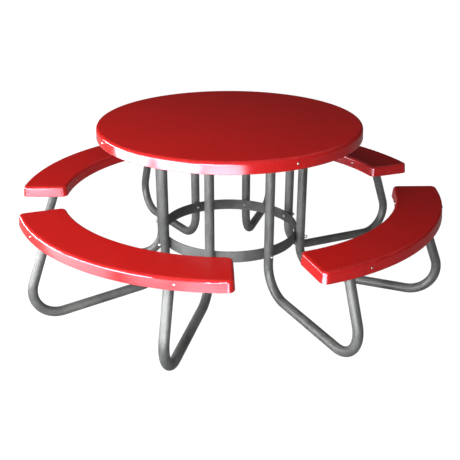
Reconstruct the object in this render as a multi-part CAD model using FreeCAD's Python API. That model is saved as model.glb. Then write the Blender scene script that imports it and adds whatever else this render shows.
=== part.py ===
import FreeCAD, Part

import math
import os

from FreeCAD import Vector

# Round outdoor table with four curved benches, all carried by eight bent tubes.
# Millimetres. +Z is up, and the origin is on the ground under the middle of the top.
# The benches are centred on the +X, +Y, -X and -Y axes.

# Table top: a moulded fibreglass pan turned upside down, with a rounded edge and a drafted rim
TOP_DIAMETER = 1168.0
TOP_HEIGHT = 740.0
TOP_WALL = 6.0
TOP_RIM_DROP = 50.0
TOP_RIM_DRAFT = 3.0
TOP_EDGE_RADIUS = 13.0

# Benches: moulded fibreglass pans, each a sector of a ring around the table
SEAT_HEIGHT = 433.0
SEAT_INNER_RADIUS = 742.0
SEAT_WIDTH = 203.0
SEAT_HALF_ANGLE = 35.5
SEAT_WALL = 6.0
SEAT_RIM_DROP = 48.0
SEAT_RIM_DRAFT = 5.0
SEAT_EDGE_RADIUS = 12.0
SEAT_CORNER_RADIUS = 28.0

# Legs: one bent steel tube each, from under the top down to the ground and up to a bench
TUBE_DIAMETER = 41.3
TUBE_WALL = 2.4
LEG_ANGLE = 45.0
POST_BEND_RADIUS = 135.0
FOOT_BEND_RADIUS = 116.0
RUN_FALL = 3.5
SUPPORT_LEAN = 20.7
CAP_THICKNESS = 3.0
CAP_DEPTH = 8.0

# Rings: flat bar rolled on edge, bolted inside the posts
RING_OUTER_RADIUS = 313.5
RING_BAR_WIDTH = 50.8
RING_BAR_THICKNESS = 6.35
RING_BAR_EDGE = 0.8
LOWER_RING_HEIGHT = 222.0
UPPER_RING_DROP = 85.0

# Flat bars on edge under the top and the benches, with bent tabs that bolt to the rims
BAR_WIDTH = 38.1
BAR_THICKNESS = 6.35
BAR_BEND_RADIUS = 3.0
TAB_LENGTH = 40.0
TAB_HOLE_INSET = 16.5

# Fasteners: domed bolts, with cap nuts where a nut shows and plain nuts where it doesn't
RING_BOLT = 8.0
RIM_BOLT = 6.0
SEAT_BOLT = 5.0
BAR_BOLT = 8.0
HEAD_RATIO = 1.75
HEAD_HEIGHT_RATIO = 0.55
NUT_FLATS_RATIO = 1.65
NUT_HEIGHT_RATIO = 0.8
BOLT_END_RATIO = 0.3

# Clearances
FIT_GAP = 0.2
HOLE_GAP = 0.3
THREAD_GAP = 0.1
CORNER_GAP = 1.0

# How far a hole's cutter reaches to each side of a wall's middle, in wall thicknesses
HOLE_REACH = 2.0
TOLERANCE = 1e-6

BENCHES = {"right": 0.0, "back": 90.0, "left": 180.0, "front": 270.0}
SIDES = {"a": -1, "b": 1}
ORIGIN = Vector(0, 0, 0)
UP = Vector(0, 0, 1)

# Sizes that follow from the ones above
tube_radius = TUBE_DIAMETER / 2
bore_radius = tube_radius - TUBE_WALL
top_under = TOP_HEIGHT - TOP_WALL
seat_under = SEAT_HEIGHT - SEAT_WALL
top_inside_radius = max(TOP_EDGE_RADIUS - TOP_WALL, TOP_WALL / 4)
seat_inside_radius = max(SEAT_EDGE_RADIUS - SEAT_WALL, SEAT_WALL / 4)
top_lip_radius = TOP_WALL / 3
seat_lip_radius = SEAT_WALL / 3
seat_outer_radius = SEAT_INNER_RADIUS + SEAT_WIDTH
seat_mid_radius = SEAT_INNER_RADIUS + SEAT_WIDTH / 2
post_radius = RING_OUTER_RADIUS + FIT_GAP + tube_radius
post_top = top_under - CAP_THICKNESS
bar_offset = tube_radius + FIT_GAP + BAR_THICKNESS / 2
upper_ring_height = TOP_HEIGHT - UPPER_RING_DROP
top_bolt_height = top_under - BAR_WIDTH / 2
seat_bolt_height = seat_under - BAR_WIDTH / 2

# A bench is centred on the bolts in its bars, and every bar is on the same side of its tube
bench_lead = math.degrees(math.asin((bar_offset + TAB_HOLE_INSET) / seat_mid_radius))


def tan(degrees):
    return math.tan(math.radians(degrees))


def sin(degrees):
    return math.sin(math.radians(degrees))


def cos(degrees):
    return math.cos(math.radians(degrees))


def polar(radius, degrees, height=0.0):
    return Vector(radius * cos(degrees), radius * sin(degrees), height)


def leg_azimuth(bench, side):
    return BENCHES[bench] - bench_lead + SIDES[side] * LEG_ANGLE / 2


def rounded_wire(corners, closed=False):
    """A wire through (point, radius) corners: straight runs joined by tangent arcs."""
    bends = []
    for i, (point, radius) in enumerate(corners):
        if radius == 0:
            bends.append((point, None, point))
            continue
        back = (corners[i - 1][0] - point).normalize()
        ahead = (corners[(i + 1) % len(corners)][0] - point).normalize()
        half_angle = back.getAngle(ahead) / 2
        reach = radius / math.tan(half_angle)
        depth = radius / math.sin(half_angle) - radius
        middle = point + (back + ahead).normalize() * depth
        bends.append((point + back * reach, middle, point + ahead * reach))
    edges = []
    for i, (first, middle, last) in enumerate(bends):
        if middle is not None:
            edges.append(Part.Arc(first, middle, last).toShape())
        if closed or i + 1 < len(bends):
            edges.append(Part.LineSegment(last, bends[(i + 1) % len(bends)][0]).toShape())
    return Part.Wire(edges)


def placed(shape, turn, along, across, height, azimuth):
    """A copy turned about Z, moved to a place beside the X axis, then swung round to an azimuth."""
    copy = shape.copy()
    copy.rotate(ORIGIN, UP, turn)
    copy.translate(Vector(along, across, height))
    copy.rotate(ORIGIN, UP, azimuth)
    return copy


# Table top


def top_rim_radius(height):
    """Radius of the rim's outer face, which flares towards its lower edge."""
    return TOP_DIAMETER / 2 - (height - TOP_HEIGHT + TOP_RIM_DROP) * tan(TOP_RIM_DRAFT)


def table_top():
    rim_foot = TOP_HEIGHT - TOP_RIM_DROP
    section = [
        (Vector(0, 0, TOP_HEIGHT), 0),
        (Vector(top_rim_radius(TOP_HEIGHT), 0, TOP_HEIGHT), TOP_EDGE_RADIUS),
        (Vector(top_rim_radius(rim_foot), 0, rim_foot), top_lip_radius),
        (Vector(top_rim_radius(rim_foot) - TOP_WALL, 0, rim_foot), top_lip_radius),
        (Vector(top_rim_radius(top_under) - TOP_WALL, 0, top_under), top_inside_radius),
        (Vector(0, 0, top_under), 0),
    ]
    shell = Part.Face(rounded_wire(section, closed=True)).revolve(ORIGIN, UP, 360)
    hole = cross_hole(RIM_BOLT, TOP_WALL)
    for azimuth in top_bolt_azimuths():
        shell = shell.cut(placed(hole, 0, top_rim_radius(top_bolt_height), 0, top_bolt_height, azimuth))
    return shell


# Benches


def seat_outline(inset, height):
    """A ring sector with rounded corners, drawn in from the rim's lower edge by an inset."""
    outer = seat_outer_radius - inset
    inner = SEAT_INNER_RADIUS + inset
    corner = SEAT_CORNER_RADIUS - inset
    lift = Vector(0, 0, height)

    def corner_arc(side, rim, reach):
        """Tangent points on the end line and on the rim arc, with the corner's own middle."""
        along = polar(1, side * SEAT_HALF_ANGLE)
        into = Vector(along.y, -along.x, 0) * side
        centre = along * math.sqrt(reach**2 - (inset + corner) ** 2) + into * (inset + corner)
        on_line = centre - into * corner
        on_rim = centre * (rim / reach)
        out = ((on_line - centre) + (on_rim - centre)).normalize()
        return on_line + lift, centre + out * corner + lift, on_rim + lift

    line_1, mid_1, rim_1 = corner_arc(-1, outer, outer - corner)
    line_2, mid_2, rim_2 = corner_arc(1, outer, outer - corner)
    line_3, mid_3, rim_3 = corner_arc(1, inner, inner + corner)
    line_4, mid_4, rim_4 = corner_arc(-1, inner, inner + corner)
    return Part.Wire(
        [
            Part.Arc(rim_1, polar(outer, 0, height), rim_2).toShape(),
            Part.Arc(rim_2, mid_2, line_2).toShape(),
            Part.LineSegment(line_2, line_3).toShape(),
            Part.Arc(line_3, mid_3, rim_3).toShape(),
            Part.Arc(rim_3, polar(inner, 0, height), rim_4).toShape(),
            Part.Arc(rim_4, mid_4, line_4).toShape(),
            Part.LineSegment(line_4, line_1).toShape(),
            Part.Arc(line_1, mid_1, rim_1).toShape(),
        ]
    )


def seat_block(inset, top, edge_radius):
    """A closed drafted sector that reaches from the rim's lower edge up to a rounded top edge."""
    foot = SEAT_HEIGHT - SEAT_RIM_DROP
    draft_inset = (top - foot) * tan(SEAT_RIM_DRAFT)
    outlines = [seat_outline(inset, foot), seat_outline(inset + draft_inset, top)]
    block = Part.makeLoft(outlines, True, True)
    rim = [e for e in block.Edges if abs(e.BoundBox.ZMin - top) < TOLERANCE]
    return block.makeFillet(edge_radius, rim)


def seat_rim_radius(outer, height):
    """Radius of the outer or inner rim's outside face, which flares towards its lower edge."""
    flare = (height - SEAT_HEIGHT + SEAT_RIM_DROP) * tan(SEAT_RIM_DRAFT)
    return seat_outer_radius - flare if outer else SEAT_INNER_RADIUS + flare


def bench_seat():
    shell = seat_block(0, SEAT_HEIGHT, SEAT_EDGE_RADIUS)
    shell = shell.cut(seat_block(SEAT_WALL, seat_under, seat_inside_radius))
    foot = SEAT_HEIGHT - SEAT_RIM_DROP
    lip = [e for e in shell.Edges if abs(e.BoundBox.ZMax - foot) < TOLERANCE]
    shell = shell.makeFillet(seat_lip_radius, lip)
    hole = cross_hole(SEAT_BOLT, SEAT_WALL)
    for side in SIDES.values():
        for outer in (True, False):
            radius = seat_rim_radius(outer, seat_bolt_height)
            shell = shell.cut(placed(hole, 0, radius, 0, seat_bolt_height, side * LEG_ANGLE / 2))
    return shell


# Legs


def support_radius(height):
    """Distance of the support's axis from the middle of the table, at a height."""
    return seat_mid_radius + (seat_under - height) * tan(SUPPORT_LEAN)


# The support's upper end, where its leaning cap just clears the bench, and the bolt below the cap's plug
cap_rise = CAP_THICKNESS * cos(SUPPORT_LEAN) + tube_radius * sin(SUPPORT_LEAN)
support_end_height = seat_under - FIT_GAP - cap_rise
support_end = Vector(support_radius(support_end_height), 0, support_end_height)
support_bolt_depth = CAP_DEPTH + BAR_BOLT / 2 + CORNER_GAP
support_bolt_height = support_end_height - support_bolt_depth * cos(SUPPORT_LEAN)


def leg_path():
    """Axis of the tube, in the plane of the leg: post, run along the ground, and support."""
    bend_height = FOOT_BEND_RADIUS + tube_radius
    bend_radius = support_radius(bend_height) - FOOT_BEND_RADIUS / cos(SUPPORT_LEAN)
    run_start = Vector(bend_radius, 0, bend_height)
    run_start -= Vector(sin(RUN_FALL), 0, cos(RUN_FALL)) * FOOT_BEND_RADIUS
    height_at_middle = run_start.z + run_start.x * tan(RUN_FALL)
    foot_radius = support_radius(height_at_middle) / (1 - tan(RUN_FALL) * tan(SUPPORT_LEAN))

    def run_point(radius):
        return Vector(radius, 0, height_at_middle - radius * tan(RUN_FALL))

    return rounded_wire(
        [
            (Vector(post_radius, 0, post_top), 0),
            (run_point(post_radius), POST_BEND_RADIUS),
            (run_point(foot_radius), FOOT_BEND_RADIUS),
            (support_end, 0),
        ]
    )


def leg_tube(holds_top_bar):
    path = leg_path()
    start = Vector(post_radius, 0, post_top)

    def swept(radius):
        ring = Part.Wire(Part.Circle(start, UP, radius).toShape())
        return path.makePipeShell([ring], True, False)

    tube = swept(tube_radius).cut(swept(bore_radius))
    ring_hole = cross_hole(RING_BOLT, TUBE_DIAMETER)
    bar_hole = cross_hole(BAR_BOLT, TUBE_DIAMETER)
    for height in (LOWER_RING_HEIGHT, upper_ring_height):
        tube = tube.cut(placed(ring_hole, 0, post_radius, 0, height, 0))
    at_bar = support_radius(support_bolt_height)
    tube = tube.cut(placed(bar_hole, 90, at_bar, 0, support_bolt_height, 0))
    if holds_top_bar:
        tube = tube.cut(placed(bar_hole, 90, post_radius, 0, top_bolt_height, 0))
    return tube


def tube_cap():
    """A plug with a flange as wide as the tube. The flange's underside is at the origin."""
    flange = Part.makeCylinder(tube_radius, CAP_THICKNESS)
    plug = Part.makeCylinder(bore_radius - FIT_GAP, CAP_DEPTH, Vector(0, 0, -CAP_DEPTH))
    return flange.fuse(plug).removeSplitter()


def post_cap():
    cap = tube_cap()
    cap.translate(Vector(post_radius, 0, post_top))
    return cap


def support_cap():
    cap = tube_cap()
    cap.rotate(ORIGIN, Vector(0, 1, 0), -SUPPORT_LEAN)
    cap.translate(support_end)
    return cap


# Rings


def brace_ring(height):
    inner = RING_OUTER_RADIUS - RING_BAR_THICKNESS
    low, high = height - RING_BAR_WIDTH / 2, height + RING_BAR_WIDTH / 2
    corners = [(inner, low), (RING_OUTER_RADIUS, low), (RING_OUTER_RADIUS, high), (inner, high)]
    section = rounded_wire([(Vector(r, 0, z), RING_BAR_EDGE) for r, z in corners], closed=True)
    ring = Part.Face(section).revolve(ORIGIN, UP, 360)
    hole = cross_hole(RING_BOLT, RING_BAR_THICKNESS)
    for bench in BENCHES:
        for side in SIDES:
            ring = ring.cut(placed(hole, 0, RING_OUTER_RADIUS, 0, height, leg_azimuth(bench, side)))
    return ring


# Flat bars with bent tabs


def bent_bar(path, top):
    """Flat bar on edge that follows a path in plan, bent at its corners, with its top edge at a height."""
    left, right = [], []
    for i, point in enumerate(path):
        ways = [(b - a).normalize() for a, b in zip(path[max(i - 1, 0):i + 1], path[max(i, 1):i + 2])]
        first, last = ways[0], ways[-1]
        normal = Vector(-first.y, first.x, 0) + Vector(-last.y, last.x, 0)
        normal = normal * (BAR_THICKNESS / normal.Length**2)
        turn = first.cross(last).z
        bent = abs(turn) > TOLERANCE
        inside, outside = BAR_BEND_RADIUS, BAR_BEND_RADIUS + BAR_THICKNESS
        left.append((point + normal, (inside if turn > 0 else outside) if bent else 0))
        right.append((point - normal, (outside if turn > 0 else inside) if bent else 0))
    face = Part.Face(rounded_wire(left + right[::-1], closed=True))
    face.translate(Vector(0, 0, top - BAR_WIDTH))
    return face.extrude(Vector(0, 0, BAR_WIDTH))


def tab_points(tab_radius, lead, across, reach):
    """Corner and free end of a tab that lies along a circle at the lead angle of its bolt."""
    along = Vector(-sin(lead), cos(lead), 0)
    foot = polar(tab_radius, lead)
    corner = foot + along * ((across - foot.y) / along.y)
    return corner, corner + along * reach


top_clip = top_inside_radius + CORNER_GAP
seat_clip = seat_inside_radius + CORNER_GAP
top_tab_face = top_rim_radius(top_under - top_clip) - TOP_WALL - FIT_GAP
outer_tab_face = seat_rim_radius(True, seat_under - seat_clip) - SEAT_WALL - FIT_GAP
inner_tab_face = seat_rim_radius(False, seat_under - seat_clip) + SEAT_WALL + FIT_GAP
top_lead = math.degrees(math.asin((bar_offset + TAB_HOLE_INSET) / top_tab_face))


def top_bolt_azimuths():
    """The four places on the top's rim where the two bars' tabs are bolted."""
    azimuths = []
    for bench in ("front", "right"):
        near = leg_azimuth(bench, "a")
        azimuths += [near - top_lead, near + 180 + top_lead]
    return azimuths


def top_bar(slot_from_top):
    """Bar across the whole top, past two opposite posts, notched to cross the other bar."""
    mid_tab = top_tab_face - BAR_THICKNESS / 2
    corner, end = tab_points(mid_tab, -top_lead, -bar_offset, -TAB_LENGTH)
    far_corner, far_end = Vector(-corner.x, corner.y, 0), Vector(-end.x, end.y, 0)
    bar = bent_bar([end, corner, far_corner, far_end], top_under)
    clip = Part.makeCylinder(TOP_DIAMETER, top_clip, Vector(0, 0, top_under - top_clip))
    clip = clip.cut(Part.makeCylinder(top_tab_face - top_clip, top_clip, Vector(0, 0, top_under - top_clip)))
    bar = bar.cut(clip)
    slot = BAR_THICKNESS + 2 * FIT_GAP
    slot_along = bar_offset if slot_from_top else -bar_offset
    slot_foot = top_under - BAR_WIDTH / 2 if slot_from_top else top_under - BAR_WIDTH
    corner_at = Vector(slot_along - slot / 2, -bar_offset - BAR_THICKNESS, slot_foot)
    bar = bar.cut(Part.makeBox(slot, 2 * BAR_THICKNESS, BAR_WIDTH / 2, corner_at))
    rim_hole = cross_hole(RIM_BOLT, BAR_THICKNESS)
    post_hole = cross_hole(BAR_BOLT, BAR_THICKNESS)
    for azimuth in (-top_lead, 180 + top_lead):
        bar = bar.cut(placed(rim_hole, 0, mid_tab, 0, top_bolt_height, azimuth))
    for along in (post_radius, -post_radius):
        bar = bar.cut(placed(post_hole, 90, along, -bar_offset, top_bolt_height, 0))
    return bar


def seat_bar():
    """Bar across a bench, bolted to the side of the support, with a tab at each rim."""
    inner_tab = inner_tab_face + BAR_THICKNESS / 2
    outer_tab = outer_tab_face - BAR_THICKNESS / 2
    inner_corner, inner_end = tab_points(inner_tab, bench_lead, bar_offset, TAB_LENGTH)
    outer_corner, outer_end = tab_points(outer_tab, bench_lead, bar_offset, TAB_LENGTH)
    bar = bent_bar([inner_end, inner_corner, outer_corner, outer_end], seat_under)
    foot = Vector(0, 0, seat_under - seat_clip)
    clip = Part.makeCylinder(2 * seat_outer_radius, seat_clip, foot)
    clip = clip.cut(Part.makeCylinder(outer_tab_face - seat_clip, seat_clip, foot))
    clip = clip.fuse(Part.makeCylinder(inner_tab_face + seat_clip, seat_clip, foot))
    bar = bar.cut(clip)
    rim_hole = cross_hole(SEAT_BOLT, BAR_THICKNESS)
    tube_hole = cross_hole(BAR_BOLT, BAR_THICKNESS)
    for radius in (inner_tab, outer_tab):
        bar = bar.cut(placed(rim_hole, 0, radius, 0, seat_bolt_height, bench_lead))
    at_tube = support_radius(support_bolt_height)
    return bar.cut(placed(tube_hole, 90, at_tube, bar_offset, support_bolt_height, 0))


# Fasteners


def cross_hole(size, wall):
    """Clearance hole for a bolt through a wall, along X and centred on the origin."""
    reach = HOLE_REACH * wall
    return Part.makeCylinder(size / 2 + HOLE_GAP, 2 * reach, Vector(-reach, 0, 0), Vector(1, 0, 0))


def bolt(size, grip):
    """Domed bolt along +X, whose head stands on the plane x = 0 and whose end passes its nut."""
    head, rise = HEAD_RATIO * size / 2, HEAD_HEIGHT_RATIO * size
    length = grip + (NUT_HEIGHT_RATIO + BOLT_END_RATIO) * size
    dome = (rise**2 + head**2) / (2 * rise)
    lean = math.degrees(math.asin(head / dome)) / 2
    crown = Vector(dome - rise - dome * cos(lean), dome * sin(lean), 0)
    section = Part.Wire(
        [
            Part.Arc(Vector(-rise, 0, 0), crown, Vector(0, head, 0)).toShape(),
            Part.makePolygon(
                [
                    Vector(0, head, 0),
                    Vector(0, size / 2, 0),
                    Vector(length, size / 2, 0),
                    Vector(length, 0, 0),
                    Vector(-rise, 0, 0),
                ]
            ),
        ]
    )
    return Part.Face(section).revolve(ORIGIN, Vector(1, 0, 0), 360)


def plain_nut(size):
    """Hexagon nut along +X, standing on the plane x = 0, on a bolt that goes right through."""
    flats = NUT_FLATS_RATIO * size
    corners = [polar(flats / 2 / cos(30), 30 + 60 * i) for i in range(6)]
    face = Part.Face(Part.makePolygon(corners + corners[:1]))
    nut = face.extrude(UP * NUT_HEIGHT_RATIO * size)
    nut = nut.cut(Part.makeCylinder(size / 2 + THREAD_GAP, NUT_HEIGHT_RATIO * size))
    nut.rotate(ORIGIN, Vector(0, 1, 0), 90)
    return nut


def cap_nut(size):
    """Hexagon nut with a closed dome over the bolt's end."""
    base = plain_nut(size)
    height = NUT_HEIGHT_RATIO * size
    dome_radius = NUT_FLATS_RATIO * size / 2
    bore = size / 2 + THREAD_GAP
    bore_end = height + BOLT_END_RATIO * size + THREAD_GAP
    axis = Vector(1, 0, 0)
    dome = Part.makeSphere(dome_radius, Vector(height, 0, 0), axis, 0, 90, 360)
    return base.fuse(dome.cut(Part.makeCylinder(bore, bore_end, ORIGIN, axis))).removeSplitter()


def ring_fasteners(height):
    """Bolts from inside the ring through the ring and post, with cap nuts on the post."""
    inside = RING_OUTER_RADIUS - RING_BAR_THICKNESS - FIT_GAP / 2
    outside = post_radius + tube_radius + FIT_GAP
    bolt_shape, nut_shape = bolt(RING_BOLT, outside - inside), cap_nut(RING_BOLT)
    azimuths = [leg_azimuth(bench, side) for bench in BENCHES for side in SIDES]
    bolts = [placed(bolt_shape, 0, inside, 0, height, a) for a in azimuths]
    nuts = [placed(nut_shape, 0, outside, 0, height, a) for a in azimuths]
    return bolts, nuts


def rim_fasteners(size, head_radius, tab_radius, height, azimuths):
    """Bolts from outside a rim through the rim and the tab behind it, with nuts on the tab."""
    inward = 180 if head_radius > tab_radius else 0
    bolt_shape = bolt(size, abs(head_radius - tab_radius))
    bolts = [placed(bolt_shape, inward, head_radius, 0, height, a) for a in azimuths]
    nuts = [placed(plain_nut(size), inward, tab_radius, 0, height, a) for a in azimuths]
    return bolts, nuts


def head_radius_on_rim(size, rim_radius, height, outward):
    """Where a flat head meets a flared rim: it touches at its lower edge."""
    touch = rim_radius(height - HEAD_RATIO * size / 2)
    return touch + FIT_GAP if outward else touch - FIT_GAP


def top_rim_fasteners():
    head = head_radius_on_rim(RIM_BOLT, top_rim_radius, top_bolt_height, True)
    tab = top_tab_face - BAR_THICKNESS - FIT_GAP / 2
    return rim_fasteners(RIM_BOLT, head, tab, top_bolt_height, top_bolt_azimuths())


def seat_rim_fasteners():
    bolts, nuts = [], []
    azimuths = [a + s * LEG_ANGLE / 2 for a in BENCHES.values() for s in SIDES.values()]
    for outer in (True, False):
        head = head_radius_on_rim(SEAT_BOLT, lambda z: seat_rim_radius(outer, z), seat_bolt_height, outer)
        tab = outer_tab_face - BAR_THICKNESS if outer else inner_tab_face + BAR_THICKNESS
        tab += -FIT_GAP / 2 if outer else FIT_GAP / 2
        more_bolts, more_nuts = rim_fasteners(SEAT_BOLT, head, tab, seat_bolt_height, azimuths)
        bolts += more_bolts
        nuts += more_nuts
    return bolts, nuts


def bar_fasteners(places, way):
    """Bolts through a bar and the tube beside it. The head is on the bar, and way is the bar's side."""
    head = way * (bar_offset + BAR_THICKNESS / 2 + FIT_GAP / 2)
    nut = -way * (tube_radius + FIT_GAP)
    turn = -90 * way
    bolt_shape, nut_shape = bolt(BAR_BOLT, abs(head - nut)), plain_nut(BAR_BOLT)
    bolts = [placed(bolt_shape, turn, along, head, height, a) for along, height, a in places]
    nuts = [placed(nut_shape, turn, along, nut, height, a) for along, height, a in places]
    return bolts, nuts


# Assembly


def build():
    parts = {"table_top": table_top()}
    seat = bench_seat()
    plain_leg, bar_leg = leg_tube(False), leg_tube(True)
    bar, post_plug, support_plug = seat_bar(), post_cap(), support_cap()
    post_plugs, support_plugs, seat_places, top_places = [], [], [], []

    def swung(shape, azimuth):
        return placed(shape, 0, 0, 0, 0, azimuth)

    for bench, bench_azimuth in BENCHES.items():
        parts[f"bench_seat_{bench}"] = swung(seat, bench_azimuth)
        for side in SIDES:
            azimuth = leg_azimuth(bench, side)
            parts[f"leg_tube_{bench}_{side}"] = swung(bar_leg if side == "a" else plain_leg, azimuth)
            parts[f"seat_bar_{bench}_{side}"] = swung(bar, azimuth)
            post_plugs.append(swung(post_plug, azimuth))
            support_plugs.append(swung(support_plug, azimuth))
            seat_places.append((support_radius(support_bolt_height), support_bolt_height, azimuth))
    parts["post_caps"] = post_plugs
    parts["support_caps"] = support_plugs

    parts["lower_ring"] = brace_ring(LOWER_RING_HEIGHT)
    parts["upper_ring"] = brace_ring(upper_ring_height)
    for bench, slot_from_top in (("front", True), ("right", False)):
        azimuth = leg_azimuth(bench, "a")
        parts[f"top_bar_{bench}"] = swung(top_bar(slot_from_top), azimuth)
        top_places += [(along, top_bolt_height, azimuth) for along in (post_radius, -post_radius)]

    parts["lower_ring_bolts"], parts["lower_ring_nuts"] = ring_fasteners(LOWER_RING_HEIGHT)
    parts["upper_ring_bolts"], parts["upper_ring_nuts"] = ring_fasteners(upper_ring_height)
    parts["top_rim_bolts"], parts["top_rim_nuts"] = top_rim_fasteners()
    parts["seat_rim_bolts"], parts["seat_rim_nuts"] = seat_rim_fasteners()
    parts["top_bar_bolts"], parts["top_bar_nuts"] = bar_fasteners(top_places, -1)
    parts["seat_bar_bolts"], parts["seat_bar_nuts"] = bar_fasteners(seat_places, 1)
    return parts


os.makedirs("parts", exist_ok=True)
for name, made in build().items():
    shape = Part.makeCompound(made) if isinstance(made, list) else made
    shape.exportStep(f"parts/{name}.step")
    state = "valid" if shape.isValid() else "INVALID"
    print(name, len(shape.Solids), "solids", round(shape.Volume / 1000), "cm3", state)
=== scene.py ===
import math

import bpy
from mathutils import Matrix, Vector


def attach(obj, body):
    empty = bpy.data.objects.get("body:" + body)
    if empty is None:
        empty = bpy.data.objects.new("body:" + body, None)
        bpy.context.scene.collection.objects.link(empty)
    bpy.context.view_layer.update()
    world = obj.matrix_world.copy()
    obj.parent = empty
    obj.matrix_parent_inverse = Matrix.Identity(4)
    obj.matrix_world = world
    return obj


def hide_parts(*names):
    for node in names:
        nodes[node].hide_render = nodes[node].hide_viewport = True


# Round outdoor table with four curved benches on eight bent tubes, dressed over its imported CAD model.
# Metres. The CAD nodes keep their shapes and get their finishes here. Every fastener is modelled anew.

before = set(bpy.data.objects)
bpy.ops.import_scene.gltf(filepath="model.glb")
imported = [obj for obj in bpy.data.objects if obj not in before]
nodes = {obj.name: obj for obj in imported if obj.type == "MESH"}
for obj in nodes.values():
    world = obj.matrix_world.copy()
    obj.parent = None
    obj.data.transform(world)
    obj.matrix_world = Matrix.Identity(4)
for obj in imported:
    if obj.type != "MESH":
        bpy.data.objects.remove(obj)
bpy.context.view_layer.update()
bpy.ops.object.select_all(action="DESELECT")


# Leg tubes
# Each leg is one length of welded steel tube, bent cold at the post and at the foot, then dipped in
# molten zinc. It carries the top on its post and a bench on its support, and it stands on its foot bend.

ZINC_CRYSTAL = 0.014
ZINC_PATCH = 0.09
ZINC_DRAIN = 0.25
ZINC_DROSS = 0.004
CRYSTAL_RELIEF = 0.00003
DROSS_RELIEF = 0.00004
DIRTY_HEIGHT = 0.09


def linear(hex_colour):
    """Linear RGBA of an sRGB hex colour."""
    channels = [int(hex_colour[i : i + 2], 16) / 255 for i in (1, 3, 5)]
    return [c / 12.92 if c <= 0.04045 else ((c + 0.055) / 1.055) ** 2.4 for c in channels] + [1.0]


def add_node(tree, kind, settings, inputs):
    """Adds a node, sets its own settings, and gives its inputs a value or a link from another node."""
    node = tree.nodes.new(kind)
    for name, value in settings.items():
        setattr(node, name, value)
    for name, value in inputs.items():
        if isinstance(value, bpy.types.NodeSocket):
            tree.links.new(value, node.inputs[name])
        else:
            node.inputs[name].default_value = value
    return node


# Hot-dip zinc that has weathered: a soft satin grey, broken up by zinc crystals and by paler, duller
# patches that run down as the zinc drained. Its grey carbonate skin scatters more light than it mirrors,
# so it counts as metal only in small part. Where the tube meets the ground it is scuffed and dirty.
tube_zinc = bpy.data.materials.new("galvanised_steel_tube")
tube_zinc.use_nodes = True
tree = tube_zinc.node_tree
shader = tree.nodes["Principled BSDF"]
shader.inputs["Metallic"].default_value = 0.1
shader.inputs["Specular IOR Level"].default_value = 0.3
place = add_node(tree, "ShaderNodeTexCoord", {}, {}).outputs["Object"]
crystals = add_node(tree, "ShaderNodeTexVoronoi", {}, {"Vector": place, "Scale": 1 / ZINC_CRYSTAL})
drained = add_node(
    tree,
    "ShaderNodeMapping",
    {},
    {"Vector": place, "Scale": (1.0, 1.0, ZINC_PATCH / ZINC_DRAIN)},
)
patches = add_node(
    tree,
    "ShaderNodeTexNoise",
    {},
    {"Vector": drained.outputs[0], "Scale": 1 / ZINC_PATCH, "Detail": 4.0},
)
dross = add_node(
    tree,
    "ShaderNodeTexNoise",
    {},
    {"Vector": place, "Scale": 1 / ZINC_DROSS, "Detail": 2.0},
)
crystal_tone = add_node(
    tree,
    "ShaderNodeMapRange",
    {},
    {"Value": crystals.outputs["Color"], "To Min": -0.3, "To Max": 0.3},
)
patch_tone = add_node(
    tree,
    "ShaderNodeMapRange",
    {},
    {"Value": patches.outputs["Fac"], "From Min": 0.3, "From Max": 0.7},
)
tone = add_node(
    tree,
    "ShaderNodeMath",
    {"operation": "ADD", "use_clamp": True},
    {0: patch_tone.outputs[0], 1: crystal_tone.outputs[0]},
)
zinc = add_node(
    tree,
    "ShaderNodeMix",
    {"data_type": "RGBA"},
    {0: tone.outputs[0], 6: linear("#3B3C3C"), 7: linear("#515252")},
)
level = add_node(tree, "ShaderNodeSeparateXYZ", {}, {0: place})
low_down = add_node(
    tree,
    "ShaderNodeMapRange",
    {"interpolation_type": "SMOOTHSTEP"},
    {"Value": level.outputs["Z"], "From Min": DIRTY_HEIGHT, "From Max": 0.0, "To Max": 0.4},
)
dirt = add_node(
    tree,
    "ShaderNodeMath",
    {"operation": "MULTIPLY"},
    {0: low_down.outputs[0], 1: patch_tone.outputs[0]},
)
dirty_zinc = add_node(
    tree,
    "ShaderNodeMix",
    {"data_type": "RGBA"},
    {0: dirt.outputs[0], 6: zinc.outputs[2], 7: linear("#57544F")},
)
satin = add_node(
    tree,
    "ShaderNodeMapRange",
    {},
    {"Value": tone.outputs[0], "To Min": 0.4, "To Max": 0.52},
)
dull = add_node(
    tree,
    "ShaderNodeMath",
    {"operation": "MULTIPLY_ADD"},
    {0: dirt.outputs[0], 1: 0.25, 2: satin.outputs[0]},
)
crystal_relief = add_node(
    tree,
    "ShaderNodeMath",
    {"operation": "MULTIPLY"},
    {0: crystals.outputs["Distance"], 1: CRYSTAL_RELIEF},
)
relief = add_node(
    tree,
    "ShaderNodeMath",
    {"operation": "MULTIPLY_ADD"},
    {0: dross.outputs["Fac"], 1: DROSS_RELIEF, 2: crystal_relief.outputs[0]},
)
bump = add_node(tree, "ShaderNodeBump", {}, {"Height": relief.outputs[0], "Distance": 1.0})
tree.links.new(dirty_zinc.outputs[2], shader.inputs["Base Color"])
tree.links.new(dull.outputs[0], shader.inputs["Roughness"])
tree.links.new(bump.outputs["Normal"], shader.inputs["Normal"])

for bench in ("right", "back", "left", "front"):
    for side in ("a", "b"):
        nodes[f"leg_tube_{bench}_{side}"].data.materials[0] = tube_zinc


# Tube caps
# Moulded polyethylene plugs pushed into both ends of every tube, under the top and under the benches.
# They keep the rain out of the tube and stop its cut end from marking the pan.

MOULD_GRAIN = 0.0012
MOULD_GRAIN_RELIEF = 0.00006

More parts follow.
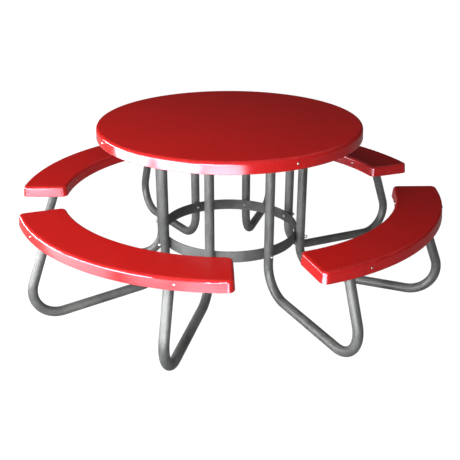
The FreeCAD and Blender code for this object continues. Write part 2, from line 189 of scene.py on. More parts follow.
# Polyethylene from a spark-eroded mould: black and waxy, with a fine even grain that kills the gloss.
cap_plastic = bpy.data.materials.new("black_polyethylene")
cap_plastic.use_nodes = True
tree = cap_plastic.node_tree
shader = tree.nodes["Principled BSDF"]
shader.inputs["IOR"].default_value = 1.51
place = add_node(tree, "ShaderNodeTexCoord", {}, {}).outputs["Object"]
grain = add_node(
    tree,
    "ShaderNodeTexNoise",
    {},
    {"Vector": place, "Scale": 1 / MOULD_GRAIN, "Detail": 2.0},
)
black = add_node(
    tree,
    "ShaderNodeMix",
    {"data_type": "RGBA"},
    {0: grain.outputs["Fac"], 6: linear("#131313"), 7: linear("#232322")},
)
waxy = add_node(
    tree,
    "ShaderNodeMapRange",
    {},
    {"Value": grain.outputs["Fac"], "To Min": 0.42, "To Max": 0.6},
)
relief = add_node(
    tree,
    "ShaderNodeMath",
    {"operation": "MULTIPLY"},
    {0: grain.outputs["Fac"], 1: MOULD_GRAIN_RELIEF},
)
bump = add_node(tree, "ShaderNodeBump", {}, {"Height": relief.outputs[0], "Distance": 1.0})
tree.links.new(black.outputs[2], shader.inputs["Base Color"])
tree.links.new(waxy.outputs[0], shader.inputs["Roughness"])
tree.links.new(bump.outputs["Normal"], shader.inputs["Normal"])

nodes["post_caps"].data.materials[0] = cap_plastic
nodes["support_caps"].data.materials[0] = cap_plastic


# Rings and flat bars
# Hot-rolled flat bar. Two lengths are rolled on edge into rings that brace the posts from inside, two
# cross under the top, and eight lie across the benches, with tabs bent at their ends. All are dipped in
# zinc with the tubes.

ROLLED_PATCH = 0.05
ROLLED_PIT = 0.005
ROLLED_PIT_DEPTH = 0.00005

# Zinc on hot-rolled bar: thicker and duller than on the tube, with no clear crystals, and faintly pitted
# from the mill scale that was pickled off it.
bar_zinc = bpy.data.materials.new("galvanised_flat_bar")
bar_zinc.use_nodes = True
tree = bar_zinc.node_tree
shader = tree.nodes["Principled BSDF"]
shader.inputs["Metallic"].default_value = 0.5
place = add_node(tree, "ShaderNodeTexCoord", {}, {}).outputs["Object"]
patches = add_node(
    tree,
    "ShaderNodeTexNoise",
    {},
    {"Vector": place, "Scale": 1 / ROLLED_PATCH, "Detail": 5.0, "Roughness": 0.6},
)
pits = add_node(tree, "ShaderNodeTexVoronoi", {}, {"Vector": place, "Scale": 1 / ROLLED_PIT})
pit_floor = add_node(
    tree,
    "ShaderNodeMapRange",
    {},
    {"Value": pits.outputs["Distance"], "From Min": 0.05, "From Max": 0.35},
)
tone = add_node(
    tree,
    "ShaderNodeMapRange",
    {},
    {"Value": patches.outputs["Fac"], "From Min": 0.3, "From Max": 0.7},
)
zinc = add_node(
    tree,
    "ShaderNodeMix",
    {"data_type": "RGBA"},
    {0: tone.outputs[0], 6: linear("#434444"), 7: linear("#565757")},
)
dull = add_node(
    tree,
    "ShaderNodeMapRange",
    {},
    {"Value": tone.outputs[0], "To Min": 0.42, "To Max": 0.58},
)
relief = add_node(
    tree,
    "ShaderNodeMath",
    {"operation": "MULTIPLY"},
    {0: pit_floor.outputs[0], 1: ROLLED_PIT_DEPTH},
)
bump = add_node(tree, "ShaderNodeBump", {}, {"Height": relief.outputs[0], "Distance": 1.0})
tree.links.new(zinc.outputs[2], shader.inputs["Base Color"])
tree.links.new(dull.outputs[0], shader.inputs["Roughness"])
tree.links.new(bump.outputs["Normal"], shader.inputs["Normal"])

for name in ("lower_ring", "upper_ring", "top_bar_front", "top_bar_right"):
    nodes[name].data.materials[0] = bar_zinc
for bench in ("right", "back", "left", "front"):
    for side in ("a", "b"):
        nodes[f"seat_bar_{bench}_{side}"].data.materials[0] = bar_zinc


# Table top and benches
# Glass-fibre pans, laid up by hand in a polished mould: pigmented polyester gel coat first, then chopped
# strand mat in resin. They are trimmed along the lower edge and bolted through their rims to the flat bars.

FADED_PATCH = 0.22
PIGMENT_CLOUD = 0.03
MOULD_WAVE = 0.05
MOULD_WAVE_RELIEF = 0.00004
ORANGE_PEEL = 0.007
ORANGE_PEEL_RELIEF = 0.000008
SCRATCH_LENGTH = 0.16
SCRATCH_WIDTH = 0.003
SCRATCH_TURNS = (0.4, 1.9)
GRAZE = 0.012
STRAND_LENGTH = 0.045
STRAND_WIDTH = 0.004
STRAND_RELIEF = 0.0006
STRAND_TURNS = (0.2, 1.3, 2.3)

# Gel coat: a deep red as smooth as its mould, with a faintly pink gloss, hardly faded by the sun. It has
# hairline scratches where plates slide, and edges that are rubbed a little chalky. The back is bare
# laminate: strands that lie every way in red-brown resin, with hardly any gloss. Scratches are drawn
# 3 mm wide and strands 4 mm, because finer ones don't show.
gel_coat = bpy.data.materials.new("red_gel_coat_on_glass_fibre")
gel_coat.use_nodes = True
tree = gel_coat.node_tree
shader = tree.nodes["Principled BSDF"]
shader.inputs["IOR"].default_value = 1.55
shader.inputs["Specular Tint"].default_value = linear("#FBE4FC")
place = add_node(tree, "ShaderNodeTexCoord", {}, {}).outputs["Object"]
normal = add_node(tree, "ShaderNodeNewGeometry", {}, {}).outputs["Normal"]
facing = add_node(tree, "ShaderNodeSeparateXYZ", {}, {0: normal}).outputs["Z"]
is_back = add_node(
    tree,
    "ShaderNodeMapRange",
    {},
    {"Value": facing, "From Min": -0.015, "From Max": -0.03},
)
is_flat = add_node(
    tree,
    "ShaderNodeMapRange",
    {},
    {"Value": facing, "From Min": 0.96, "From Max": 0.99},
)
edge_low = add_node(
    tree,
    "ShaderNodeMapRange",
    {},
    {"Value": facing, "From Min": 0.25, "From Max": 0.55},
)
edge_high = add_node(
    tree,
    "ShaderNodeMapRange",
    {},
    {"Value": facing, "From Min": 0.97, "From Max": 0.8},
)

noises = {}
for mark, size, detail in (
    ("faded", FADED_PATCH, 3.0),
    ("clouds", PIGMENT_CLOUD, 3.0),
    ("wave", MOULD_WAVE, 0.0),
    ("peel", ORANGE_PEEL, 0.0),
    ("grazes", GRAZE, 4.0),
):
    noise = add_node(
        tree,
        "ShaderNodeTexNoise",
        {},
        {"Vector": place, "Scale": 1 / size, "Detail": detail},
    )
    noises[mark] = noise.outputs["Fac"]

scratch_layers = []
for turn in SCRATCH_TURNS:
    along = add_node(
        tree,
        "ShaderNodeMapping",
        {},
        {
            "Vector": place,
            "Rotation": (0, 0, turn),
            "Scale": (1 / SCRATCH_LENGTH, 1 / SCRATCH_WIDTH, 1.0),
        },
    )
    lines = add_node(
        tree,
        "ShaderNodeTexNoise",
        {},
        {"Vector": along.outputs[0], "Scale": 1.0, "Detail": 1.0},
    )
    thin = add_node(
        tree,
        "ShaderNodeMapRange",
        {},
        {"Value": lines.outputs["Fac"], "From Min": 0.72, "From Max": 0.8},
    )
    scratch_layers.append(thin.outputs[0])
scratches = add_node(
    tree,
    "ShaderNodeMath",
    {"operation": "MAXIMUM"},
    {0: scratch_layers[0], 1: scratch_layers[1]},
)
scratched = add_node(
    tree,
    "ShaderNodeMath",
    {"operation": "MULTIPLY"},
    {0: scratches.outputs[0], 1: is_flat.outputs[0]},
)

strand_layers = []
for turn in STRAND_TURNS:
    along = add_node(
        tree,
        "ShaderNodeMapping",
        {},
        {
            "Vector": place,
            "Rotation": (0, 0, turn),
            "Scale": (1 / STRAND_LENGTH, 1 / STRAND_WIDTH, 1 / STRAND_LENGTH),
        },
    )
    lay = add_node(
        tree,
        "ShaderNodeTexNoise",
        {},
        {"Vector": along.outputs[0], "Scale": 1.0, "Detail": 1.0},
    )
    strand_layers.append(lay.outputs["Fac"])
crossed = add_node(
    tree,
    "ShaderNodeMath",
    {"operation": "MAXIMUM"},
    {0: strand_layers[0], 1: strand_layers[1]},
)
strands = add_node(
    tree,
    "ShaderNodeMath",
    {"operation": "MAXIMUM"},
    {0: crossed.outputs[0], 1: strand_layers[2]},
)
strand_tone = add_node(
    tree,
    "ShaderNodeMapRange",
    {},
    {"Value": strands.outputs[0], "From Min": 0.45, "From Max": 0.75},
)

edge = add_node(
    tree,
    "ShaderNodeMath",
    {"operation": "MULTIPLY"},
    {0: edge_low.outputs[0], 1: edge_high.outputs[0]},
)
worn_spots = add_node(
    tree,
    "ShaderNodeMapRange",
    {},
    {"Value": noises["grazes"], "From Min": 0.52, "From Max": 0.66},
)
worn = add_node(
    tree,
    "ShaderNodeMath",
    {"operation": "MULTIPLY"},
    {0: edge.outputs[0], 1: worn_spots.outputs[0]},
)

mottle = add_node(
    tree,
    "ShaderNodeMath",
    {"operation": "MULTIPLY_ADD"},
    {0: noises["clouds"], 1: 0.35, 2: noises["faded"]},
)
depth = add_node(
    tree,
    "ShaderNodeMapRange",
    {},
    {"Value": mottle.outputs[0], "From Min": 0.45, "From Max": 0.9},
)
red = add_node(
    tree,
    "ShaderNodeMix",
    {"data_type": "RGBA"},
    {0: depth.outputs[0], 6: linear("#8D110E"), 7: linear("#91110E")},
)
rubbed = add_node(
    tree,
    "ShaderNodeMath",
    {"operation": "MAXIMUM"},
    {0: worn.outputs[0], 1: scratched.outputs[0]},
)
rubbed_part = add_node(
    tree,
    "ShaderNodeMath",
    {"operation": "MULTIPLY"},
    {0: rubbed.outputs[0], 1: 0.07},
)
chalky_red = add_node(
    tree,
    "ShaderNodeMix",
    {"data_type": "RGBA"},
    {0: rubbed_part.outputs[0], 6: red.outputs[2], 7: linear("#C0615E")},
)
laminate = add_node(
    tree,
    "ShaderNodeMix",
    {"data_type": "RGBA"},
    {0: strand_tone.outputs[0], 6: linear("#561411"), 7: linear("#8A3A2E")},
)
colour = add_node(
    tree,
    "ShaderNodeMix",
    {"data_type": "RGBA"},
    {0: is_back.outputs[0], 6: chalky_red.outputs[2], 7: laminate.outputs[2]},
)

gloss = add_node(
    tree,
    "ShaderNodeMapRange",
    {},
    {"Value": noises["faded"], "To Min": 0.12, "To Max": 0.22},
)
rubbed_gloss = add_node(
    tree,
    "ShaderNodeMath",
    {"operation": "MULTIPLY_ADD"},
    {0: rubbed.outputs[0], 1: 0.008, 2: gloss.outputs[0]},
)
laminate_gloss = add_node(
    tree,
    "ShaderNodeMapRange",
    {},
    {"Value": strands.outputs[0], "To Min": 0.62, "To Max": 0.42},
)
roughness = add_node(
    tree,
    "ShaderNodeMix",
    {"data_type": "FLOAT"},
    {0: is_back.outputs[0], 2: rubbed_gloss.outputs[0], 3: laminate_gloss.outputs[0]},
)

wave_relief = add_node(
    tree,
    "ShaderNodeMath",
    {"operation": "MULTIPLY"},
    {0: noises["wave"], 1: MOULD_WAVE_RELIEF},
)
smooth_relief = add_node(
    tree,
    "ShaderNodeMath",
    {"operation": "MULTIPLY_ADD"},
    {0: noises["peel"], 1: ORANGE_PEEL_RELIEF, 2: wave_relief.outputs[0]},
)
strand_relief = add_node(
    tree,
    "ShaderNodeMath",
    {"operation": "MULTIPLY"},
    {0: strand_tone.outputs[0], 1: STRAND_RELIEF},
)
relief = add_node(
    tree,
    "ShaderNodeMix",
    {"data_type": "FLOAT"},
    {0: is_back.outputs[0], 2: smooth_relief.outputs[0], 3: strand_relief.outputs[0]},
)
bump = add_node(tree, "ShaderNodeBump", {}, {"Height": relief.outputs[0], "Distance": 1.0})
tree.links.new(colour.outputs[2], shader.inputs["Base Color"])
tree.links.new(roughness.outputs[0], shader.inputs["Roughness"])
tree.links.new(bump.outputs["Normal"], shader.inputs["Normal"])

nodes["table_top"].data.materials[0] = gel_coat
for bench in ("right", "back", "left", "front"):
    nodes[f"bench_seat_{bench}"].data.materials[0] = gel_coat


# Ring bolts and cap nuts
# A domed M8 bolt goes from inside each ring through the flat bar and the post, and a closed cap nut sits
# on the post's outer side, where legs brush past it. Steel, headed cold and rolled for the thread, then
# zinc plated.

RING_BOLT = 0.008
RING_BOLT_PITCH = 0.00125
RING_HEAD_RADIUS = 0.30705
RING_NUT_RADIUS = 0.3552
RING_HEIGHTS = {"lower_ring": 0.222, "upper_ring": 0.655}
THREAD_PLAY = 0.0001
SHARP_EDGE = math.radians(28)
LEG_AZIMUTHS = [-25.2538 + 45 * i for i in range(8)]
PLATE_BLOOM = 0.006
PLATE_GRAIN = 0.0009
PLATE_GRAIN_RELIEF = 0.00001

# Bright zinc plate with a clear passivate: a pale metal that shows a faint blue and straw bloom, and a
# fine grain.
bright_zinc = bpy.data.materials.new("zinc_plated_steel")
bright_zinc.use_nodes = True
tree = bright_zinc.node_tree
shader = tree.nodes["Principled BSDF"]
shader.inputs["Metallic"].default_value = 1.0
place = add_node(tree, "ShaderNodeTexCoord", {}, {}).outputs["Object"]
bloom = add_node(
    tree,
    "ShaderNodeTexNoise",
    {},
    {"Vector": place, "Scale": 1 / PLATE_BLOOM, "Detail": 2.0},
)
grain = add_node(
    tree,
    "ShaderNodeTexNoise",
    {},
    {"Vector": place, "Scale": 1 / PLATE_GRAIN, "Detail": 1.0},
)
tint = add_node(
    tree,
    "ShaderNodeMix",
    {"data_type": "RGBA"},
    {0: bloom.outputs["Fac"], 6: linear("#B4BAC3"), 7: linear("#CBC6B6")},
)
polish = add_node(
    tree,
    "ShaderNodeMapRange",
    {},
    {"Value": bloom.outputs["Fac"], "To Min": 0.24, "To Max": 0.4},
)
relief = add_node(
    tree,
    "ShaderNodeMath",
    {"operation": "MULTIPLY"},
    {0: grain.outputs["Fac"], 1: PLATE_GRAIN_RELIEF},
)
bump = add_node(tree, "ShaderNodeBump", {}, {"Height": relief.outputs[0], "Distance": 1.0})
tree.links.new(tint.outputs[2], shader.inputs["Base Color"])
tree.links.new(polish.outputs[0], shader.inputs["Roughness"])
tree.links.new(bump.outputs["Normal"], shader.inputs["Normal"])


def turned(profile):
    """A piece turned about X: a filled circle, drawn out step by step through (place, radius) pairs."""
    (at, radius), *steps = profile
    bpy.ops.object.select_all(action="DESELECT")
    bpy.ops.mesh.primitive_circle_add(
        vertices=32,
        radius=radius,
        fill_type="NGON",
        location=(at, 0, 0),
        rotation=(0, math.radians(90), 0),
    )
    bpy.ops.object.transform_apply(location=True, rotation=True, scale=True)
    bpy.ops.object.mode_set(mode="EDIT")
    bpy.ops.mesh.select_all(action="SELECT")
    for to, wide in steps:
        bpy.ops.mesh.extrude_region_move(TRANSFORM_OT_translate={"value": (to - at, 0, 0)})
        bpy.ops.transform.resize(value=(1, wide / radius, wide / radius), center_override=(to, 0, 0))
        at = to
        radius = wide
    bpy.ops.mesh.select_all(action="SELECT")
    bpy.ops.mesh.normals_make_consistent(inside=False)
    bpy.ops.object.mode_set(mode="OBJECT")
    return bpy.context.object


def domed_bolt(size, pitch, grip):
    """A bolt along X with its head's underside at x = 0, threaded where its end passes through the nut."""
    head = 0.875 * size
    rise = 0.55 * size
    shank = 0.5 * size
    land = 0.09 * size
    core = shank - 0.6 * pitch
    length = grip + 1.1 * size
    profile = []
    for step in range(9):
        swing = math.radians(5 + 85 * step / 8)
        crown = -land - (rise - land) * math.cos(swing)
        profile.append((crown, (head - 0.03 * size) * math.sin(swing)))
    profile += [(-0.6 * land, head), (-0.3 * land, head), (0.0, head - 0.02 * size), (0.0, shank)]
    at = grip - 2 * pitch
    while at < length - 1.5 * pitch:
        profile += [(at, shank), (at + 0.5 * pitch, core)]
        at += pitch
    profile += [(at, shank), (length - 0.4 * pitch, core + 0.2 * pitch), (length, core - 0.1 * size)]
    return turned(profile)


def boolean(piece, operation, tool):
    """Cuts, joins or clips a piece by another, which is used up."""
    step = piece.modifiers.new(operation.lower(), "BOOLEAN")
    step.operation = operation
    step.object = tool
    step.solver = "EXACT"
    bpy.context.view_layer.objects.active = piece
    bpy.ops.object.modifier_apply(modifier=step.name)
    bpy.data.objects.remove(tool)


def hexagon_nut(size, closed):
    """A chamfered nut along X that stands at x = 0. A closed one has a dome over the bolt's end."""
    flats = 1.65 * size
    tall = 0.8 * size
    corner = flats / math.sqrt(3)
    bore = size / 2 + THREAD_PLAY
    bpy.ops.object.select_all(action="DESELECT")
    bpy.ops.mesh.primitive_cylinder_add(
        vertices=6,
        radius=corner,
        depth=tall,
        location=(tall / 2, 0, 0),
        rotation=(0, math.radians(90), 0),
    )
    bpy.ops.object.transform_apply(location=True, rotation=True, scale=True)
    nut = bpy.context.object
    face = 0.475 * flats
    slope = 0.06 * flats
    outside = corner * 1.02
    chamfer = turned([(0, face), (slope, outside), (tall - slope, outside), (tall, face)])
    boolean(nut, "INTERSECT", chamfer)
    if closed:
        dome = [(0.5 * tall, 0.9 * face), (tall, 0.98 * face)]
        for step in range(1, 9):
            swing = math.radians(84 * step / 8)
            dome.append((tall + flats / 2 * math.sin(swing), 0.98 * face * math.cos(swing)))
        boolean(nut, "UNION", turned(dome))
    end = tall + 0.3 * size + THREAD_PLAY if closed else 2 * tall
    boolean(nut, "DIFFERENCE", turned([(-tall, bore), (end, bore)]))
    return nut


def fasten(pattern, node, places):
    """Copies a fastener to its places as one piece, which stands for its CAD node.

    A place gives its turn about Z, how far along, across and up it stands, and the azimuth of all that.
    """
    bpy.ops.object.select_all(action="DESELECT")
    for turn, along, across, up, azimuth in places:
        copy = pattern.copy()
        copy.data = pattern.data.copy()
        copy.data.transform(Matrix.Rotation(math.radians(turn), 4, "Z"))
        copy.data.transform(Matrix.Translation((along, across, up)))
        copy.data.transform(Matrix.Rotation(math.radians(azimuth), 4, "Z"))
        bpy.context.collection.objects.link(copy)
        copy.select_set(True)
        bpy.context.view_layer.objects.active = copy
    bpy.data.objects.remove(pattern)
    bpy.ops.object.join()
    bpy.ops.object.shade_smooth_by_angle(angle=SHARP_EDGE)
    piece = bpy.context.object
    piece.name = node + "_set"
    piece.data.materials.clear()
    piece.data.materials.append(bright_zinc)
    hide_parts(node)
    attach(piece, "root")


for ring, up in RING_HEIGHTS.items():
    bolt_places = [(0, RING_HEAD_RADIUS, 0, up, azimuth) for azimuth in LEG_AZIMUTHS]
    nut_places = [(0, RING_NUT_RADIUS, 0, up, azimuth) for azimuth in LEG_AZIMUTHS]
    bolt = domed_bolt(RING_BOLT, RING_BOLT_PITCH, RING_NUT_RADIUS - RING_HEAD_RADIUS)
    fasten(bolt, f"{ring}_bolts", bolt_places)
    nut = hexagon_nut(RING_BOLT, closed=True)
    fasten(nut, f"{ring}_nuts", nut_places)


# Rim bolts
# Domed bolts through the pans' rims and the tabs behind them, with plain nuts inside: four M6 in the
# top's rim, and four M5 in each bench, two outside and two inside. Only the small bright heads show.

RIM_BOLT = 0.006
RIM_BOLT_PITCH = 0.001
RIM_HEAD_RADIUS = 0.58317
RIM_NUT_RADIUS = 0.56946
RIM_BOLT_HEIGHT = 0.71495
RIM_BOLT_AZIMUTHS = (240.711, 68.781, -29.289, 158.781)
SEAT_BOLT = 0.005
SEAT_BOLT_PITCH = 0.0008
SEAT_BOLT_HEIGHT = 0.40795
SEAT_BOLT_AZIMUTHS = [22.5 + 45 * i for i in range(8)]
OUTER_HEAD_RADIUS = 0.943575
OUTER_NUT_RADIUS = 0.92929
INNER_HEAD_RADIUS = 0.743425
INNER_NUT_RADIUS = 0.75771

bolt_places = []
nut_places = []
for azimuth in RIM_BOLT_AZIMUTHS:
    bolt_places.append((180, RIM_HEAD_RADIUS, 0, RIM_BOLT_HEIGHT, azimuth))
    nut_places.append((180, RIM_NUT_RADIUS, 0, RIM_BOLT_HEIGHT, azimuth))
bolt = domed_bolt(RIM_BOLT, RIM_BOLT_PITCH, RIM_HEAD_RADIUS - RIM_NUT_RADIUS)
fasten(bolt, "top_rim_bolts", bolt_places)
nut = hexagon_nut(RIM_BOLT, closed=False)
fasten(nut, "top_rim_nuts", nut_places)

bolt_places = []
nut_places = []
for azimuth in SEAT_BOLT_AZIMUTHS:
    bolt_places.append((180, OUTER_HEAD_RADIUS, 0, SEAT_BOLT_HEIGHT, azimuth))
    bolt_places.append((0, INNER_HEAD_RADIUS, 0, SEAT_BOLT_HEIGHT, azimuth))
    nut_places.append((180, OUTER_NUT_RADIUS, 0, SEAT_BOLT_HEIGHT, azimuth))
    nut_places.append((0, INNER_NUT_RADIUS, 0, SEAT_BOLT_HEIGHT, azimuth))
bolt = domed_bolt(SEAT_BOLT, SEAT_BOLT_PITCH, OUTER_HEAD_RADIUS - OUTER_NUT_RADIUS)
fasten(bolt, "seat_rim_bolts", bolt_places)
nut = hexagon_nut(SEAT_BOLT, closed=False)
fasten(nut, "seat_rim_nuts", nut_places)


# Bar bolts
# Domed M8 bolts that hold the flat bars to the sides of the tubes: one through each end post of a top
# bar, and one through each support. They are out of sight inside the pans, with plain nuts on the far
# side of the tube.

BAR_BOLT = 0.008
BAR_BOLT_PITCH = 0.00125
BAR_HEAD_OFFSET = 0.0273
BAR_NUT_OFFSET = 0.02085
POST_RADIUS = 0.33435
SUPPORT_RADIUS = 0.85199
SUPPORT_BOLT_HEIGHT = 0.40453
TOP_BAR_AZIMUTHS = (244.7462, -25.2538)
BAR_GRIP = BAR_HEAD_OFFSET + BAR_NUT_OFFSET

bolt_places = []
nut_places = []
for azimuth in TOP_BAR_AZIMUTHS:
    for along in (POST_RADIUS, -POST_RADIUS):
        bolt_places.append((90, along, -BAR_HEAD_OFFSET, RIM_BOLT_HEIGHT, azimuth))
        nut_places.append((90, along, BAR_NUT_OFFSET, RIM_BOLT_HEIGHT, azimuth))
bolt = domed_bolt(BAR_BOLT, BAR_BOLT_PITCH, BAR_GRIP)
fasten(bolt, "top_bar_bolts", bolt_places)
nut = hexagon_nut(BAR_BOLT, closed=False)
fasten(nut, "top_bar_nuts", nut_places)

bolt_places = []
nut_places = []
for azimuth in LEG_AZIMUTHS:
    bolt_places.append((-90, SUPPORT_RADIUS, BAR_HEAD_OFFSET, SUPPORT_BOLT_HEIGHT, azimuth))
    nut_places.append((-90, SUPPORT_RADIUS, -BAR_NUT_OFFSET, SUPPORT_BOLT_HEIGHT, azimuth))
bolt = domed_bolt(BAR_BOLT, BAR_BOLT_PITCH, BAR_GRIP)
fasten(bolt, "seat_bar_bolts", bolt_places)
nut = hexagon_nut(BAR_BOLT, closed=False)
fasten(nut, "seat_bar_nuts", nut_places)


# Floor
# The pale seamless sheet that the photograph was taken on, which runs out of sight behind the table.
# It is the stage and no part of the object.

SHEET_SIZE = 60.0
GLOW_TO_CAMERA = 0.98
GLOW_ON_OBJECT = 0.8
GLOW_IN_MIRRORS = 0.1

bpy.ops.object.select_all(action="DESELECT")
bpy.ops.mesh.primitive_plane_add(size=SHEET_SIZE, location=(0.0, 0.0, 0.0))
floor = bpy.context.object
floor.name = "pale_floor"

# Matt paper, which the photograph shows burnt out to white: the camera sees it lit up, it lights the
# object softly from below, and the object mirrors it dim.
paper = bpy.data.materials.new("matt_white_paper")
paper.use_nodes = True
tree = paper.node_tree
shader = tree.nodes["Principled BSDF"]
shader.inputs["Base Color"].default_value = linear("#505050")
shader.inputs["Roughness"].default_value = 0.9
shader.inputs["Specular IOR Level"].default_value = 0.1
shader.inputs["Emission Color"].default_value = linear("#FFFFFF")
looked_at = add_node(tree, "ShaderNodeLightPath", {}, {})
bounce = add_node(
    tree,
    "ShaderNodeMapRange",
    {},
    {
        "Value": looked_at.outputs["Is Diffuse Ray"],
        "To Min": GLOW_IN_MIRRORS,
        "To Max": GLOW_ON_OBJECT,
    },
)
glow = add_node(
    tree,
    "ShaderNodeMix",
    {"data_type": "FLOAT"},
    {0: looked_at.outputs["Is Camera Ray"], 2: bounce.outputs[0], 3: GLOW_TO_CAMERA},
)
tree.links.new(glow.outputs[0], shader.inputs["Emission Strength"])
floor.data.materials.append(paper)


# Light
# Soft boxes on the left, in front and above light the object. Low strips and floor panels, and bands and
# a card that only show in reflections, are the white that rims, edges and corners mirror. Weak fills stand
# behind and on the right. Places are as the camera sees them: x to its right, y away from it, z up.

CAMERA_TURN = math.radians(34.2)
FEATHER = 0.2
CEILING_DIM = 0.03
CEILING_BRIGHT = 0.3
NEAR_WALL_BRIGHT = 0.4
NEAR_WALL_WAY = (-0.5, -0.87, 0.0)
as_seen = Matrix.Rotation(CAMERA_TURN, 4, "Z")


def soft_box(name, at, towards, size, power, lights=True, mirrored=True):
    """A rectangular studio light, turned to face a point, that fades out towards its edges.

    One that doesn't light only shows in reflections, and one that isn't mirrored never shows in them.
    """
    lamp = bpy.data.lights.new(name, "AREA")
    lamp.shape = "RECTANGLE"
    lamp.size = size[0]
    lamp.size_y = size[1]
    lamp.energy = power / (1 - FEATHER) ** 2
    lamp.use_nodes = True
    tree = lamp.node_tree
    panel = add_node(tree, "ShaderNodeNewGeometry", {}, {}).outputs["Parametric"]
    across = add_node(tree, "ShaderNodeSeparateXYZ", {}, {0: panel})
    fades = []
    for side in ("X", "Y"):
        inset = add_node(
            tree,
            "ShaderNodeMath",
            {"operation": "PINGPONG"},
            {0: across.outputs[side], 1: 0.5},
        )
        fade = add_node(
            tree,
            "ShaderNodeMapRange",
            {"interpolation_type": "SMOOTHSTEP"},
            {"Value": inset.outputs[0], "From Min": 0.0, "From Max": FEATHER},
        )
        fades.append(fade.outputs[0])
    glow = add_node(tree, "ShaderNodeMath", {"operation": "MULTIPLY"}, {0: fades[0], 1: fades[1]})
    tree.links.new(glow.outputs[0], tree.nodes["Emission"].inputs["Strength"])
    holder = bpy.data.objects.new(name, lamp)
    bpy.context.scene.collection.objects.link(holder)
    start = as_seen @ Vector(at)
    aim = (as_seen @ Vector(towards) - start).to_track_quat("-Z", "Y")
    holder.matrix_world = Matrix.Translation(start) @ aim.to_matrix().to_4x4()
    holder.visible_camera = False
    holder.visible_diffuse = lights
    holder.visible_glossy = mirrored


soft_box("left_box", (-2.4, 0.2, 1.6), (0.0, 0.0, 0.5), (2.2, 1.2), 54.0, mirrored=False)
soft_box("front_left_box", (-1.9, -1.7, 1.6), (0.0, 0.0, 0.5), (2.2, 1.2), 78.0, mirrored=False)
soft_box("front_box", (-0.44, -2.5, 1.25), (-0.1, -0.9, 0.5), (1.28, 0.83), 30.0, mirrored=False)
soft_box("top_box", (-0.4, -1.2, 2.3), (0.05, -0.1, 0.74), (1.8, 0.9), 26.0, mirrored=False)
soft_box("left_band", (-2.2, 0.1, 0.6), (0.0, 0.0, 0.6), (2.0, 0.26), 50.0, lights=False)
soft_box("front_left_band", (-1.7, -1.55, 0.6), (0.0, 0.0, 0.6), (2.0, 0.26), 90.0, lights=False)
soft_box("front_band", (-0.4, -2.4, 0.6), (-0.1, -0.9, 0.5), (1.3, 0.26), 65.0, lights=False)
soft_box("left_strip", (-2.5, -0.5, 0.22), (-0.4, -0.2, 0.7), (2.1, 0.22), 40.0)
soft_box("front_left_strip", (-1.6, -2.1, 0.22), (-0.2, -0.4, 0.7), (2.1, 0.22), 42.0)
soft_box("front_strip", (-0.15, -2.55, 0.2), (0.0, -0.5, 0.7), (1.5, 0.2), 20.0)
soft_box("left_floor_panel", (-1.75, -0.85, 0.03), (-1.55, -0.75, 1.2), (1.6, 1.0), 20.0)
soft_box("front_floor_panel", (-0.75, -1.95, 0.03), (-0.68, -1.75, 1.2), (1.7, 0.9), 12.0)
soft_box("end_panel", (-1.37, -2.2, 0.03), (-1.3, -2.0, 1.2), (0.9, 0.7), 12.0)
soft_box("corner_panel", (-0.05, -1.93, 0.03), (-0.04, -1.73, 1.2), (1.3, 0.45), 6.0)
soft_box("corner_card", (0.05, -1.33, 0.2), (0.36, -0.86, 0.41), (0.8, 0.12), 6.0, lights=False)
soft_box("back_left_fill", (-1.9, 2.3, 0.38), (0.0, 0.0, 0.45), (2.2, 0.6), 38.0, mirrored=False)
soft_box("back_right_fill", (1.9, 2.0, 0.38), (0.0, 0.0, 0.45), (2.6, 0.7), 24.0, mirrored=False)
soft_box("right_fill", (2.8, -0.6, 0.38), (0.0, 0.0, 0.45), (2.4, 0.7), 8.0, mirrored=False)

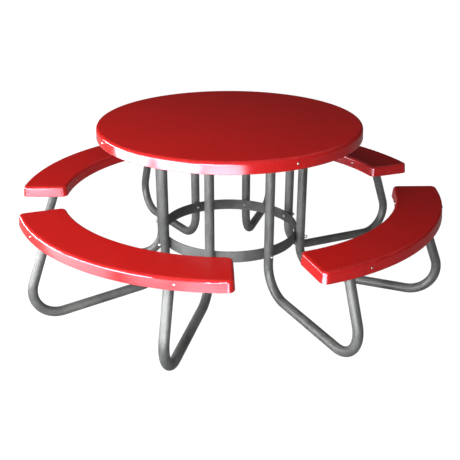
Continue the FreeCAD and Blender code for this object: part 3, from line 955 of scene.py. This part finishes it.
# The room: a dim ceiling, and a brighter wall behind the camera and to its left, over a dark far side.
world = bpy.data.worlds.new("studio")
bpy.context.scene.world = world
world.use_nodes = True
sky = world.node_tree
backdrop = sky.nodes["Background"]
backdrop.inputs["Color"].default_value = linear("#FFFFFF")
way = add_node(sky, "ShaderNodeTexCoord", {}, {}).outputs["Generated"]
rise = add_node(sky, "ShaderNodeSeparateXYZ", {}, {0: way})
ceiling = add_node(
    sky,
    "ShaderNodeMapRange",
    {"interpolation_type": "SMOOTHSTEP"},
    {
        "Value": rise.outputs["Z"],
        "From Min": 0.4,
        "From Max": 0.75,
        "To Min": CEILING_DIM,
        "To Max": CEILING_BRIGHT,
    },
)
nearness = add_node(
    sky,
    "ShaderNodeVectorMath",
    {"operation": "DOT_PRODUCT"},
    {0: way, 1: as_seen @ Vector(NEAR_WALL_WAY)},
)
near_wall = add_node(
    sky,
    "ShaderNodeMapRange",
    {"interpolation_type": "SMOOTHSTEP"},
    {
        "Value": nearness.outputs["Value"],
        "From Min": -0.3,
        "From Max": 0.8,
        "To Max": NEAR_WALL_BRIGHT,
    },
)
overhead = add_node(
    sky,
    "ShaderNodeMath",
    {"operation": "MAXIMUM"},
    {0: ceiling.outputs[0], 1: near_wall.outputs[0]},
)
seen = add_node(sky, "ShaderNodeLightPath", {}, {})
light = add_node(
    sky,
    "ShaderNodeMix",
    {"data_type": "FLOAT"},
    {0: seen.outputs["Is Camera Ray"], 2: overhead.outputs[0], 3: 1.0},
)
sky.links.new(light.outputs[0], backdrop.inputs["Strength"])
bpy.context.scene.view_settings.view_transform = "Standard"


# Camera
# Found from the photograph, by fitting the outlines of the top, the benches and the tubes.
# It stands at a person's eye height, before the gap between the front and the right bench.

EYE_DISTANCE = 3.244
EYE_HEIGHT = 1.622
LOOK_DOWN = math.radians(23.549)
LOOK_ASIDE = math.radians(0.269)

camera_data = bpy.data.cameras.new("photo_camera")
camera_data.sensor_width = 36.0
camera_data.lens = 59.1
camera_data.shift_x = 0.0084
camera_data.shift_y = 0.0026
camera = bpy.data.objects.new("photo_camera", camera_data)
bpy.context.scene.collection.objects.link(camera)
camera.location = as_seen @ Vector((0.0, -EYE_DISTANCE, EYE_HEIGHT))
camera.rotation_euler = (math.radians(90) - LOOK_DOWN, 0.0, CAMERA_TURN + LOOK_ASIDE)
bpy.context.scene.camera = camera
